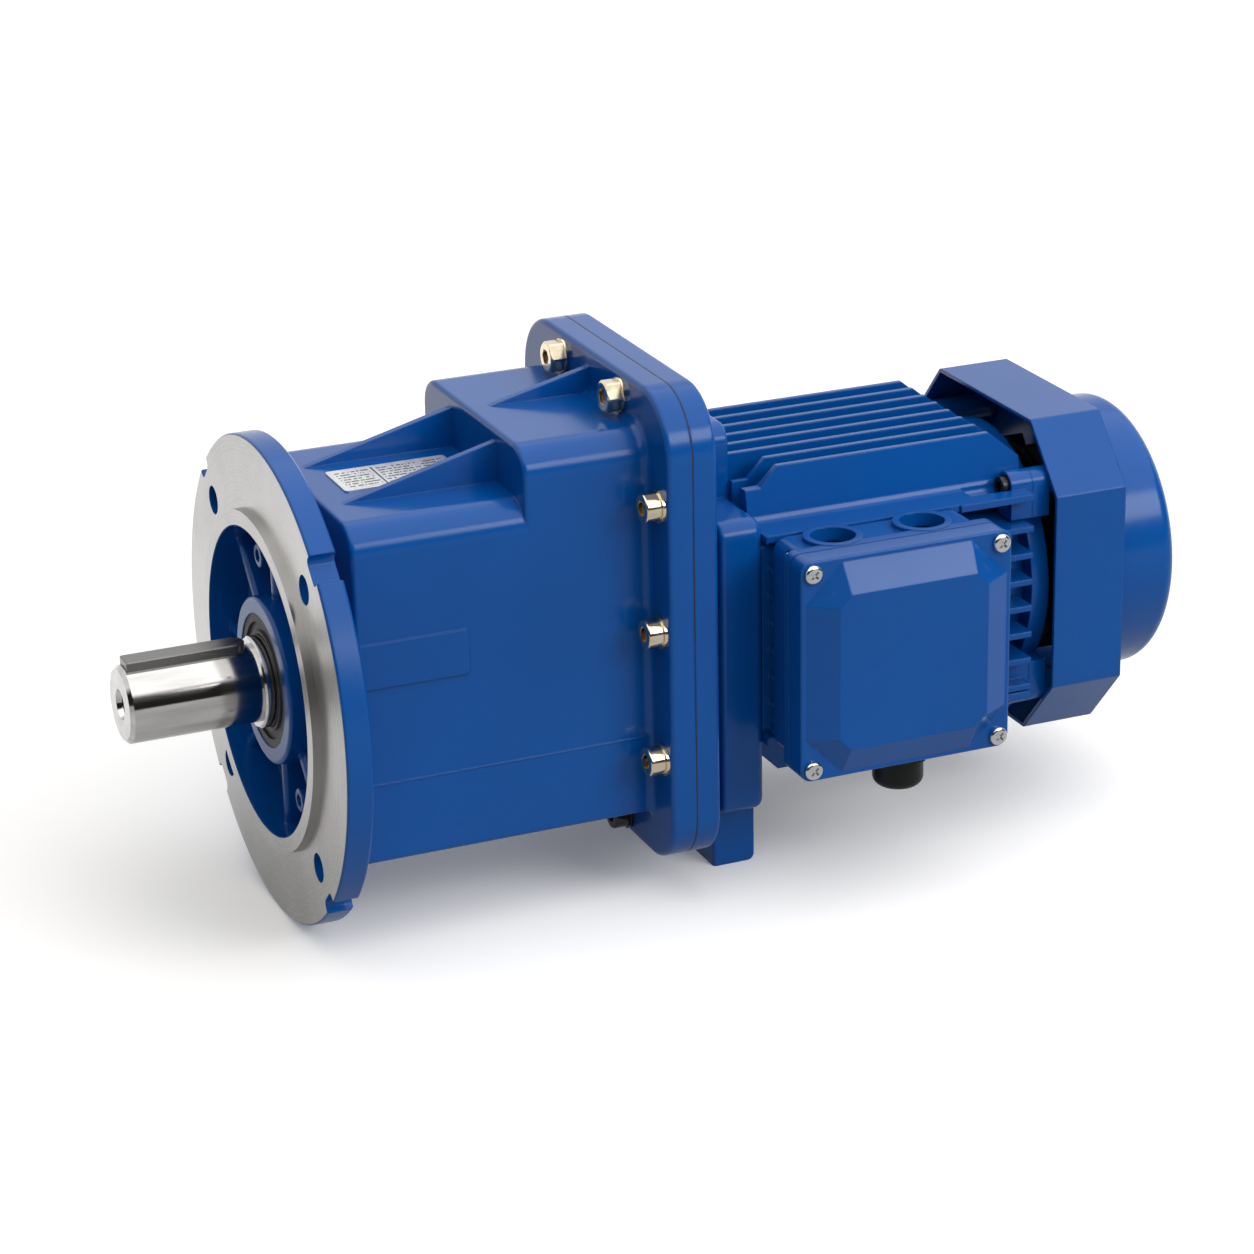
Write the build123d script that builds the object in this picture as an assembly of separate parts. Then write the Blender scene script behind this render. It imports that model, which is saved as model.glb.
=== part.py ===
"""Flange-mounted in-line helical gearbox with its finned motor.

Millimetres, +Z up. The origin is the centre of the output flange's front face, on the output
shaft's axis. The output shaft points to -X, the motor to +X and the terminal box to -Y.
Three parallel shafts lie along X: output shaft, layshaft above it, motor shaft between them.
"""

import os
from math import acos, cos, degrees, pi, radians, sin, tan

from build123d import *

# ---------------------------------------------------------------- driving dimensions
# Axes of the three shafts, heights above the output shaft
LAYSHAFT_Z = 60.0
MOTOR_Z = 5.25
FLOOR_Z = -100.0

# Output flange, 200 mm size
FLANGE_RADIUS = 100.0
FLANGE_THICK = 11.0
BOLT_CIRCLE_RADIUS = 82.5
BOLT_HOLE_RADIUS = 6.0
SPIGOT_RADIUS = 70.0
SPIGOT_HEIGHT = 3.5
RECESS_RADIUS = 63.5
RECESS_FLOOR = 14.0
HUB_RADIUS = 34.4
HUB_FACE = -1.0
NECK_RADIUS = 70.0
NOTCH_WIDTH = 12.0
NOTCH_DEPTH = 5.0

# Output shaft
SHAFT_RADIUS = 16.0
SHAFT_END = -60.0
COLLAR_RADIUS = 18.8
COLLAR_FRONT = -5.5
KEY_WIDTH = 10.0
KEY_HEIGHT = 8.0
KEY_DEPTH = 5.0
KEY_FRONT = -57.8
KEY_REAR = -7.8
CENTRE_HOLE_RADIUS = 5.1
CENTRE_HOLE_DEPTH = 28.0
GEAR_SEAT_RADIUS = 14.0
GEAR_KEY_WIDTH = 8.0
GEAR_KEY_SEAT = 10.0
GEAR_KEY_TOP = 17.0

# Gear case
CASE_FRONT = 20.0
CASE_HALF_WIDTH = 56.5
CASE_BOTTOM = -62.5
LOWER_TOP = 78.5
UPPER_TOP = 100.0
STEP_X = 92.0
WALL = 5.5
TOP_EDGE_RADIUS = 12.0
RIB_THICK = 3.5

# Joint plates and the screws round them
PLATE_FRONT = 144.5
PLATE_SPLIT = 155.0
GASKET_THICK = 0.5
PLATE_REAR = 166.0
PLATE_HALF_WIDTH = 76.0
PLATE_TOP = 117.5
PLATE_BOTTOM = -82.0
PLATE_TOP_RADIUS = 26.0
PLATE_BOTTOM_RADIUS = 22.0
TOP_SCREWS = [(-30.0, 108.4), (30.0, 108.4)]
SIDE_SCREWS = [(side * 67.5, z) for side in (-1, 1) for z in (73.0, 20.0, -35.0)]
BOTTOM_SCREWS = [(-29.0, -73.5), (29.0, -73.5)]
JOINT_SCREWS = TOP_SCREWS + SIDE_SCREWS + BOTTOM_SCREWS
M8_RADIUS = 4.0
M5_RADIUS = 2.5
WASHER_RADIUS = 6.9
WASHER_THICK = 1.4
ROOT_RADIUS = 3.5
DOWEL_RADIUS = 3.0
DOWEL_POINTS = [(-66.0, 47.0), (66.0, -8.0)]

# Rear cover, which carries the motor
COVER_REAR = 193.0
COVER_HALF_WIDTH = 60.0
COVER_TOP = 57.0
COVER_BOTTOM = -70.0
TOWER_HALF_WIDTH = 27.0
TOWER_TOP = 87.0
FOOT_HALF_WIDTH = 42.0
FOOT_FRONT = 177.5
FOOT_REAR = 196.0

# Gears: transverse module, teeth, faces along X, helix angle at the pitch circle
LOW_MODULE = 2.0
LOW_PINION_TEETH = 12
LOW_GEAR_TEETH = 48
LOW_FRONT = 110.0
LOW_REAR = 136.0
HIGH_MODULE = 1.5
HIGH_PINION_TEETH = 18
HIGH_GEAR_TEETH = 55
HIGH_FRONT = 149.0
HIGH_REAR = 159.0
PRESSURE_ANGLE = 20.0
HELIX_ANGLE = 12.0
TOOTH_THINNING = 0.2

# Motor
FRAME_REAR = 318.0
FRAME_TUBE_OUTER = 49.0
FRAME_TUBE_INNER = 44.0
FIN_THICK = 2.5
FIN_TOP = 72.0
LEDGE_TOP = 50.5
SIDE_FIN_REACH = 63.0
SIDE_FIN_PITCH = 11.7
SIDE_FIN_FRONT = 196.0
CORE_FRONT = 216.0
CORE_REAR = 282.0
LUG_Y = 50.0
LUG_RISE = 46.0
SHIELD_REAR = 326.0

# Fan cowl
COWL_SHEET = 1.6
COWL_FRONT = 324.8
COWL_SHOULDER = 357.5
COWL_REAR = 387.2
DRUM_RADIUS = 59.2
OCTAGON_HALF_WIDTH = 64.5
OCTAGON_HALF_HEIGHT = 69.3
OCTAGON_TOP_HALF = 40.5
OCTAGON_SIDE_HALF = 42.3

# Terminal box
LID_SIZE = 94.0
LID_X = 237.3
LID_Z = 5.1
BOX_FRONT_Y = -89.0
BOX_BACK_Y = -61.7
LID_RIM_Y = -100.0
LID_PANEL_Y = -107.0
LID_PANEL_SIZE = 66.0
LID_CORNER_CUT = 17.0
LID_SCREW_INSET = 5.2
BOX_WIDTH = 85.0
BOX_TOP = 50.5
ENTRY_Y = -76.0
ENTRY_X = [216.0, 256.0]
ENTRY_RADIUS = 9.25
GLAND_X = 246.0

# Play between pieces that are assembled with each other
FIT_GAP = 0.05
TURNING_GAP = 0.3


# ---------------------------------------------------------------- helpers
def block(x0, x1, y0, y1, z0, z1):
    """Box between two corners."""
    centre = Pos((x0 + x1) / 2, (y0 + y1) / 2, (z0 + z1) / 2)
    return centre * Box(x1 - x0, y1 - y0, z1 - z0)


def bar(radius, x0, x1, y=0.0, z=0.0):
    """Round bar along X."""
    return Pos((x0 + x1) / 2, y, z) * Rot(0, 90, 0) * Cylinder(radius, x1 - x0)


def ring(outer, inner, x0, x1, y=0.0, z=0.0):
    """Tube along X."""
    return bar(outer, x0, x1, y, z) - bar(inner, x0 - 1, x1 + 1, y, z)


def upright(radius, z0, z1, x, y):
    """Round bar along Z."""
    return Pos(x, y, (z0 + z1) / 2) * Cylinder(radius, z1 - z0)


def crossbar(radius, y0, y1, x, z):
    """Round bar along Y."""
    return Pos(x, (y0 + y1) / 2, z) * Rot(90, 0, 0) * Cylinder(radius, y1 - y0)


def along_x(sketch, x0, x1):
    """Extrude a sketch drawn in (Y, Z) from x0 to x1."""
    return extrude(Plane.YZ.offset(x0) * sketch, amount=x1 - x0)


def along_y(sketch, y0, y1):
    """Extrude a sketch drawn in (X, Z) from y0 to y1."""
    return extrude(Plane.XZ.offset(-y1) * sketch, amount=y1 - y0)


def rounded(low_y, high_y, low_z, high_z, low_radius, high_radius):
    """Rectangle in (Y, Z) with one corner radius below and one above."""
    middle_y, middle_z = (low_y + high_y) / 2, (low_z + high_z) / 2
    outline = Pos(middle_y, middle_z) * Rectangle(high_y - low_y, high_z - low_z)
    corners = outline.vertices().sort_by(Axis.Y)
    if low_radius:
        outline = fillet(corners[:2], low_radius)
    corners = outline.vertices().sort_by(Axis.Y)
    return fillet(corners[-2:], high_radius) if high_radius else outline


def polar(radius, angle):
    """Point at a radius and an angle in degrees."""
    return radius * cos(radians(angle)), radius * sin(radians(angle))


def hexagon(across_flats, x0, x1, y, z):
    """Hexagonal bar along X."""
    outline = RegularPolygon(across_flats / 2, 6, major_radius=False)
    return Pos(0, y, z) * along_x(outline, x0, x1)


def group(pieces):
    """Several separate solids in one node."""
    solids = []
    for piece in pieces:
        solids.extend(piece.solids())
    return Compound(children=solids)


def save(name, shape):
    """Write one node."""
    export_step(shape, "parts/" + name + ".step")


os.makedirs("parts", exist_ok=True)


# ---------------------------------------------------------------- gears
def involute(angle):
    """Involute function of an angle in radians."""
    return tan(angle) - angle


def tooth_outline(teeth, module, tooth_at, addendum):
    """Closed outline of a gear in (Y, Z), with one tooth centred on the angle tooth_at."""
    pitch_radius = teeth * module / 2
    base_radius = pitch_radius * cos(radians(PRESSURE_ANGLE))
    tip_radius = pitch_radius + addendum * module
    root_radius = pitch_radius - 1.25 * module
    flank_start = max(base_radius, root_radius) + 0.02
    half_tooth = (pi * module / 2 - TOOTH_THINNING) / 2 / pitch_radius

    def place(radius, angle):
        return radius * cos(angle), radius * sin(angle)

    def half_angle(radius):
        pressure_here = acos(base_radius / radius)
        return half_tooth + involute(radians(PRESSURE_ANGLE)) - involute(pressure_here)

    middle_radius = (flank_start + tip_radius) / 2
    step = 2 * pi / teeth
    edges = []
    for index in range(teeth):
        centre = radians(tooth_at) + index * step
        root_half = half_angle(flank_start)
        tip_half = half_angle(tip_radius)
        middle_half = half_angle(middle_radius)
        for side in (-1, 1):
            root_point = place(root_radius, centre + side * root_half)
            start_point = place(flank_start, centre + side * root_half)
            middle_point = place(middle_radius, centre + side * middle_half)
            tip_point = place(tip_radius, centre + side * tip_half)
            edges.append(Line(root_point, start_point).edge())
            edges.append(ThreePointArc(start_point, middle_point, tip_point).edge())
        tip_low = place(tip_radius, centre - tip_half)
        tip_high = place(tip_radius, centre + tip_half)
        edges.append(ThreePointArc(tip_low, place(tip_radius, centre), tip_high).edge())
        root_low = place(root_radius, centre + root_half)
        root_high = place(root_radius, centre + step - root_half)
        bottom = place(root_radius, centre + step / 2)
        edges.append(ThreePointArc(root_low, bottom, root_high).edge())
    return Face(Wire(edges))


def helical_gear(teeth, module, tooth_at, addendum, x0, x1, axis_z, hand):
    """Helical gear along X; hand is +1 or -1 and meshing gears have opposite hands."""
    outline = tooth_outline(teeth, module, tooth_at, addendum)
    flat = Plane.YZ.offset(x0) * outline
    pitch_radius = teeth * module / 2
    twist = hand * degrees((x1 - x0) * tan(radians(HELIX_ANGLE)) / pitch_radius)
    centre = Vector(x0, 0, 0)
    solid = Solid.extrude_linear_with_rotation(flat, centre, Vector(x1 - x0, 0, 0), twist)
    return Pos(0, 0, axis_z) * solid


def twist_before(teeth, module, distance, hand):
    """Angle in degrees that a helical gear's teeth turn over a distance along X."""
    return hand * degrees(distance * tan(radians(HELIX_ANGLE)) / (teeth * module / 2))


# ---------------------------------------------------------------- bearings
def bearing_sizes(bore, outside):
    """Pitch radius, ball radius and ring heights of a deep-groove ball bearing."""
    pitch = (bore + outside) / 4
    ball = 0.15 * (outside - bore)
    return pitch, ball


def outer_race(bore, outside, x0, x1, z):
    """Outer ring with its balls; the balls stay clear of the inner ring."""
    pitch, ball = bearing_sizes(bore, outside)
    middle = (x0 + x1) / 2
    groove = Pos(middle, 0, z) * Rot(0, 90, 0) * Torus(pitch, ball + FIT_GAP)
    race = ring(outside / 2 - FIT_GAP, pitch + 0.5 * ball, x0, x1, z=z) - groove
    count = int(2 * pi * pitch / (2.7 * ball))
    balls = []
    for index in range(count):
        ball_y, ball_z = polar(pitch, 360 * index / count)
        balls.append(Pos(middle, ball_y, z + ball_z) * Sphere(ball))
    return group([race] + balls)


def inner_race(bore, outside, x0, x1, z):
    """Inner ring, which turns with its shaft."""
    pitch, ball = bearing_sizes(bore, outside)
    middle = (x0 + x1) / 2
    groove = Pos(middle, 0, z) * Rot(0, 90, 0) * Torus(pitch, ball + TURNING_GAP)
    return ring(pitch - 0.5 * ball, bore / 2 + FIT_GAP, x0, x1, z=z) - groove


# Bearings: bore, outside diameter, front and rear face, height of the axis
FRONT_OUTPUT = (35.0, 72.0, 24.0, 41.0, 0.0)
REAR_OUTPUT = (30.0, 62.0, 90.0, 106.0, 0.0)
FRONT_LAYSHAFT = (15.0, 35.0, 94.0, 105.0, LAYSHAFT_Z)
REAR_LAYSHAFT = (17.0, 40.0, 167.0, 179.0, LAYSHAFT_Z)
FRONT_MOTOR = (20.0, 47.0, 178.0, 192.0, MOTOR_Z)
REAR_MOTOR = (15.0, 35.0, 306.0, 317.0, MOTOR_Z)

save("front_output_bearing", outer_race(*FRONT_OUTPUT))
save("rear_output_bearing", outer_race(*REAR_OUTPUT))
save("front_layshaft_bearing", outer_race(*FRONT_LAYSHAFT))
save("rear_layshaft_bearing", outer_race(*REAR_LAYSHAFT))
save("front_motor_bearing", outer_race(*FRONT_MOTOR))
save("rear_motor_bearing", outer_race(*REAR_MOTOR))
save("output_inner_rings", group([inner_race(*FRONT_OUTPUT), inner_race(*REAR_OUTPUT)]))
save("layshaft_inner_rings", group([inner_race(*FRONT_LAYSHAFT), inner_race(*REAR_LAYSHAFT)]))
save("motor_inner_rings", group([inner_race(*FRONT_MOTOR), inner_race(*REAR_MOTOR)]))


def bearing_bore(bearing, x0=None, x1=None):
    """Cutter for a bearing's seat, run on to x0 or x1 where the seat is open."""
    _, outside, front, rear, axis_z = bearing
    return bar(outside / 2, front if x0 is None else x0, rear if x1 is None else x1, z=axis_z)


# ---------------------------------------------------------------- output flange
M6_RADIUS = 3.0
FLANGE_SCREW_RADIUS = 50.0
FLANGE_SCREW_POINTS = [polar(FLANGE_SCREW_RADIUS, 67.5 + 90 * turn) for turn in range(4)]
SEAL_RADIUS = 27.5
SEAL_FRONT = HUB_FACE + 0.5
SEAL_REAR = SEAL_FRONT + 8
PILOT_REAR = CASE_FRONT + 4
RIB_FRONT = 5.0
BOSS_RADIUS = 7.0
SCREW_FACE = RECESS_FLOOR - 3


def rim_notch(angle):
    """Cutter for one scalloped notch in the flange's rim."""
    cutter = block(-2, FLANGE_THICK + 2, FLANGE_RADIUS - NOTCH_DEPTH, FLANGE_RADIUS + 6,
                   -NOTCH_WIDTH / 2, NOTCH_WIDTH / 2)
    inner_edges = cutter.edges().filter_by(Axis.X).sort_by(Axis.Y)[:2]
    return Rot(angle, 0, 0) * fillet(inner_edges, 3.0)


flange = bar(FLANGE_RADIUS, 0, FLANGE_THICK)
flange = chamfer(flange.edges(), 0.8)
flange += bar(SPIGOT_RADIUS, -SPIGOT_HEIGHT, 1) + bar(NECK_RADIUS, FLANGE_THICK - 1, CASE_FRONT)
flange -= bar(RECESS_RADIUS, -SPIGOT_HEIGHT - 1, RECESS_FLOOR)
recess_rib = block(RIB_FRONT, RECESS_FLOOR + 1, HUB_RADIUS - 3, RECESS_RADIUS + 1, -2.6, 2.6)
recess_rib = fillet(recess_rib.edges().filter_by(Axis.Y).group_by(Axis.X)[0], 2.0)
for turn in range(8):
    flange += Rot(45 * turn, 0, 0) * recess_rib
for screw_y, screw_z in FLANGE_SCREW_POINTS:
    flange += bar(BOSS_RADIUS, SCREW_FACE, RECESS_FLOOR + 1, screw_y, screw_z)
hub = bar(HUB_RADIUS, HUB_FACE, CASE_FRONT)
flange += fillet(hub.edges().sort_by(Axis.X)[0], 1.5)
flange += bar(FRONT_OUTPUT[1] / 2 - FIT_GAP, RECESS_FLOOR + 1, PILOT_REAR)
flange -= bar(SEAL_RADIUS + FIT_GAP, HUB_FACE - 1, SEAL_REAR + FIT_GAP)
flange -= bar(COLLAR_RADIUS + 3, 0, PILOT_REAR + 1) + bar(29, CASE_FRONT, PILOT_REAR + 1)
for turn in range(4):
    flange -= rim_notch(45 + 90 * turn)
    hole_y, hole_z = polar(BOLT_CIRCLE_RADIUS, 45 + 90 * turn)
    flange -= bar(BOLT_HOLE_RADIUS, -1, FLANGE_THICK + 1, hole_y, hole_z)
for screw_y, screw_z in FLANGE_SCREW_POINTS:
    flange -= bar(M6_RADIUS + 0.3, SCREW_FACE - 1, CASE_FRONT + 1, screw_y, screw_z)
save("output_flange", flange)


def cap_screw(radius, head_radius, head_height, x_seat, length, y, z, direction=1):
    """Socket-head screw along X: the head stands on x_seat, the shank runs in direction."""
    head_end = x_seat - direction * head_height
    tip = x_seat + direction * length
    head = bar(head_radius, min(x_seat, head_end), max(x_seat, head_end), y, z)
    outer_edge = head.edges().filter_by(GeomType.CIRCLE).sort_by(Axis.X)
    head = fillet(outer_edge[0 if direction > 0 else -1], 0.12 * head_radius)
    socket_end = head_end + direction * 0.6 * head_height
    socket = hexagon(1.0 * head_radius, min(head_end, socket_end) - (1 if direction > 0 else 0),
                     max(head_end, socket_end) + (0 if direction > 0 else 1), y, z)
    shank = bar(radius, min(x_seat, tip), max(x_seat, tip), y, z)
    return head - socket + shank


save("flange_screws", group([
    cap_screw(M6_RADIUS, 5, 5.5, SCREW_FACE, 16, y, z) for y, z in FLANGE_SCREW_POINTS]))

seal = ring(SEAL_RADIUS, COLLAR_RADIUS + TURNING_GAP, SEAL_FRONT, SEAL_REAR)
seal -= ring(24.0, 20.5, SEAL_FRONT - 1, SEAL_FRONT + 1.2)
save("output_seal", seal)

# ---------------------------------------------------------------- gear case
INNER_HALF_WIDTH = CASE_HALF_WIDTH - WALL
INNER_BOTTOM = CASE_BOTTOM + WALL
GEAR_CHAMBER_RADIUS = 45.0
WEB_FRONT = 88.0
CHAMBER_FRONT = 106.0
UPPER_CHAMBER_FRONT = HIGH_FRONT - 0.8


def plate_outline():
    """Outline that the two joint plates and the gasket share."""
    return rounded(-PLATE_HALF_WIDTH, PLATE_HALF_WIDTH, PLATE_BOTTOM, PLATE_TOP,
                   PLATE_BOTTOM_RADIUS, PLATE_TOP_RADIUS)


def chamber_outline():
    """Opening through the joint: the case's chamber and the round one of the upper gear."""
    lower = rounded(-INNER_HALF_WIDTH, INNER_HALF_WIDTH, INNER_BOTTOM, LOWER_TOP - WALL, 8, 8)
    return lower + Pos(0, LAYSHAFT_Z) * Circle(GEAR_CHAMBER_RADIUS)


def top_rib(x0, z0, x1, z1, y):
    """Triangular stiffening rib that rises along X."""
    side = make_face(Polyline((x0, z0 - 2), (x0, z0), (x1, z1), (x1, z0 - 2), (x0, z0 - 2)))
    return along_y(side, y - RIB_THICK / 2, y + RIB_THICK / 2)


lower_block = along_x(
    rounded(-CASE_HALF_WIDTH, CASE_HALF_WIDTH, CASE_BOTTOM, LOWER_TOP, 2, TOP_EDGE_RADIUS),
    CASE_FRONT, STEP_X + 8)
lower_block = fillet(lower_block.faces().sort_by(Axis.X)[0].edges(), 1.8)
upper_block = along_x(
    rounded(-CASE_HALF_WIDTH, CASE_HALF_WIDTH, CASE_BOTTOM, UPPER_TOP, 2, TOP_EDGE_RADIUS),
    STEP_X, PLATE_FRONT + 2)
upper_block = fillet(upper_block.faces().sort_by(Axis.X)[0].edges(), 1.8)
case = lower_block + upper_block
case_plate = along_x(plate_outline(), PLATE_FRONT, PLATE_SPLIT)
plate_front_edges = case_plate.faces().sort_by(Axis.X)[0].edges()
case += fillet(plate_front_edges, 2.0)
case_root = case.faces().filter_by(Axis.X).filter_by_position(
    Axis.X, PLATE_FRONT - 0.1, PLATE_FRONT + 0.1).sort_by(SortBy.AREA)[-1].inner_wires()
case = fillet(case_root[0].edges(), ROOT_RADIUS)
for side in (-1, 1):
    case += top_rib(28, LOWER_TOP, STEP_X + 2, 95.5, side * 24.5)
case += top_rib(101, UPPER_TOP, PLATE_FRONT + 1, 111, 4.2)
label_pad = block(20.5, 67, -CASE_HALF_WIDTH - 0.8, -CASE_HALF_WIDTH + 1, 12.0, 30.8)
case += fillet(label_pad.edges().filter_by(Axis.Y), 1.5)
parting_bead = block(21, PLATE_FRONT, CASE_HALF_WIDTH - 1, CASE_HALF_WIDTH + 0.25, -29.2, -28.6)
case += parting_bead + mirror(parting_bead, Plane.XZ)

front_room = along_x(
    rounded(-INNER_HALF_WIDTH, INNER_HALF_WIDTH, INNER_BOTTOM, LOWER_TOP - WALL, 8, 8),
    CASE_FRONT + 8, WEB_FRONT)
case -= front_room - bar(43, CASE_FRONT + 7, FRONT_OUTPUT[3] + 1)
rear_room = along_x(
    rounded(-INNER_HALF_WIDTH, INNER_HALF_WIDTH, INNER_BOTTOM, UPPER_TOP - WALL, 8, 8),
    CHAMBER_FRONT, UPPER_CHAMBER_FRONT + 1)
case -= rear_room + along_x(chamber_outline(), UPPER_CHAMBER_FRONT, PLATE_SPLIT + 1)
case -= bearing_bore(FRONT_OUTPUT, x0=CASE_FRONT - 1, x1=FRONT_OUTPUT[3] + 2)
case -= bearing_bore(REAR_OUTPUT, x1=CHAMBER_FRONT + 1) + bar(25, WEB_FRONT - 1, REAR_OUTPUT[2] + 1)
case -= bearing_bore(FRONT_LAYSHAFT, x1=CHAMBER_FRONT + 1)
for side in (-1, 1):
    case -= bar(7, WEB_FRONT - 1, CHAMBER_FRONT + 1, side * 38, -40)
for screw_y, screw_z in FLANGE_SCREW_POINTS:
    case -= bar(M6_RADIUS + FIT_GAP, CASE_FRONT - 1, CASE_FRONT + 7.5, screw_y, screw_z)
for screw_y, screw_z in JOINT_SCREWS:
    case -= bar(4.5, PLATE_FRONT - 1, PLATE_SPLIT + 1, screw_y, screw_z)
    case -= bar(WASHER_RADIUS + 0.5, PLATE_FRONT - 12, PLATE_FRONT, screw_y, screw_z)
for dowel_y, dowel_z in DOWEL_POINTS:
    case -= bar(DOWEL_RADIUS + FIT_GAP, PLATE_SPLIT - 5, PLATE_SPLIT + 1, dowel_y, dowel_z)

# Fill and level plugs in the far side wall
PLUG_POINTS = [(118.0, 80.0), (118.0, -20.0)]
PLUG_RADIUS = 5.0
for plug_x, plug_z in PLUG_POINTS:
    case += crossbar(10, CASE_HALF_WIDTH - 2, CASE_HALF_WIDTH + 1.5, plug_x, plug_z)
    case -= crossbar(PLUG_RADIUS + FIT_GAP, INNER_HALF_WIDTH - 1, CASE_HALF_WIDTH + 3,
                     plug_x, plug_z)
save("gear_case", case)

gasket = along_x(plate_outline(), PLATE_SPLIT, PLATE_SPLIT + GASKET_THICK)
gasket -= along_x(chamber_outline(), PLATE_SPLIT - 1, PLATE_SPLIT + GASKET_THICK + 1)
for screw_y, screw_z in JOINT_SCREWS:
    gasket -= bar(4.5, PLATE_SPLIT - 1, PLATE_SPLIT + 1, screw_y, screw_z)
for dowel_y, dowel_z in DOWEL_POINTS:
    gasket -= bar(DOWEL_RADIUS + 0.2, PLATE_SPLIT - 1, PLATE_SPLIT + 1, dowel_y, dowel_z)
save("case_gasket", gasket)

save("joint_dowels", group([
    bar(DOWEL_RADIUS, PLATE_SPLIT - 4.8, PLATE_SPLIT + 6, y, z) for y, z in DOWEL_POINTS]))


def oil_plug(x, z):
    """Hexagon plug screwed into the far side wall."""
    seat = CASE_HALF_WIDTH + 3
    head = Pos(x, 0, z) * along_y(RegularPolygon(7, 6, major_radius=False), seat, seat + 6)
    return head + crossbar(PLUG_RADIUS, INNER_HALF_WIDTH + 1, seat, x, z)


save("oil_plugs", group([oil_plug(x, z) for x, z in PLUG_POINTS]))
save("oil_plug_washers", group([
    crossbar(8.5, CASE_HALF_WIDTH + 1.5, CASE_HALF_WIDTH + 3, x, z)
    - crossbar(PLUG_RADIUS + FIT_GAP, CASE_HALF_WIDTH, CASE_HALF_WIDTH + 4, x, z)
    for x, z in PLUG_POINTS]))

# Nameplate between the two ribs of the lower top
NAMEPLATE_X = (33.5, 84.0)
NAMEPLATE_HALF = 13.0
nameplate = block(*NAMEPLATE_X, -NAMEPLATE_HALF, NAMEPLATE_HALF, LOWER_TOP, LOWER_TOP + 0.6)
nameplate = fillet(nameplate.edges().filter_by(Axis.Z), 1.5)
save("nameplate", nameplate)


# ---------------------------------------------------------------- joint screws
SCREW_SEAT = PLATE_FRONT - WASHER_THICK
SCREW_LENGTH = PLATE_REAR - SCREW_SEAT - 1.5
HEXAGON_FLATS = 11.8
HEXAGON_HEIGHT = 6.6
ROUND_HEAD_RADIUS = 6.0
ROUND_HEAD_HEIGHT = 6.4


def hexagon_screw(y, z):
    """Hexagon-head screw with a hexagon socket, its head towards -X."""
    head_front = SCREW_SEAT - HEXAGON_HEIGHT
    crown = bar(0.56 * HEXAGON_FLATS, head_front, SCREW_SEAT, y, z)
    crown = chamfer(crown.edges().sort_by(Axis.X)[0], 0.9)
    head = hexagon(HEXAGON_FLATS, head_front, SCREW_SEAT, y, z) & crown
    head -= hexagon(6, head_front - 1, head_front + 4, y, z)
    return head + bar(M8_RADIUS, SCREW_SEAT, SCREW_SEAT + SCREW_LENGTH, y, z)


save("top_joint_screws", group([hexagon_screw(y, z) for y, z in TOP_SCREWS]))
save("side_joint_screws", group([
    cap_screw(M8_RADIUS, ROUND_HEAD_RADIUS, ROUND_HEAD_HEIGHT, SCREW_SEAT, SCREW_LENGTH, y, z)
    for y, z in SIDE_SCREWS + BOTTOM_SCREWS]))
save("joint_washers", group([
    ring(WASHER_RADIUS, 4.3, SCREW_SEAT, PLATE_FRONT, y, z)
    for y, z in JOINT_SCREWS]))

# ---------------------------------------------------------------- rear cover with the foot
MOTOR_SCREW_POINTS = [(side * 54.0, z) for side in (-1, 1) for z in (29.45, -17.35)]
COVER_CHAMBER_REAR = 160.5
cover_plate = along_x(plate_outline(), PLATE_SPLIT + GASKET_THICK, PLATE_REAR)
cover = fillet(cover_plate.faces().sort_by(Axis.X)[-1].edges(), 2.0)
cover += along_x(rounded(-COVER_HALF_WIDTH + 4, COVER_HALF_WIDTH - 4, COVER_BOTTOM, COVER_TOP, 6, 7),
                 PLATE_REAR - 1, COVER_REAR - 5)
shoulder = along_x(rounded(-COVER_HALF_WIDTH, COVER_HALF_WIDTH, COVER_BOTTOM, COVER_TOP, 6, 7),
                   174, COVER_REAR)
shoulder = fillet(shoulder.faces().sort_by(Axis.X)[0].edges(), 2.0)
cover += fillet(shoulder.edges().filter_by(Axis.Y).group_by(Axis.Z)[0].sort_by(Axis.X)[-1], 3.5)
tower = along_x(rounded(-TOWER_HALF_WIDTH, TOWER_HALF_WIDTH, 20, TOWER_TOP, 0, 8),
                PLATE_REAR - 1, COVER_REAR)
cover += fillet(tower.faces().sort_by(Axis.X)[-1].edges().sort_by(Axis.Z)[-5:], 1.5)
foot = block(FOOT_FRONT, FOOT_REAR, -FOOT_HALF_WIDTH, FOOT_HALF_WIDTH, FLOOR_Z, COVER_BOTTOM + 5)
foot = fillet(foot.edges().filter_by(Axis.Y).group_by(Axis.Z)[0].sort_by(Axis.X)[-1], 3.0)
cover += fillet(foot.edges().filter_by(Axis.Z).group_by(Axis.X)[0], 1.5)
cover -= along_x(chamber_outline(), PLATE_SPLIT, COVER_CHAMBER_REAR)
cover -= bearing_bore(REAR_LAYSHAFT, x0=COVER_CHAMBER_REAR - 1)
cover -= bearing_bore(FRONT_MOTOR, x1=COVER_REAR + 1)
INPUT_SEAL = (10.4, 17.5, 166.0, 173.0)
cover -= bar(INPUT_SEAL[1] + FIT_GAP, COVER_CHAMBER_REAR - 1, INPUT_SEAL[3] + FIT_GAP, z=MOTOR_Z)
cover -= bar(13, COVER_CHAMBER_REAR - 1, COVER_REAR + 1, z=MOTOR_Z)
for screw_y, screw_z in JOINT_SCREWS:
    cover -= bar(M8_RADIUS + FIT_GAP, PLATE_SPLIT, PLATE_REAR - 1, screw_y, screw_z)
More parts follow.
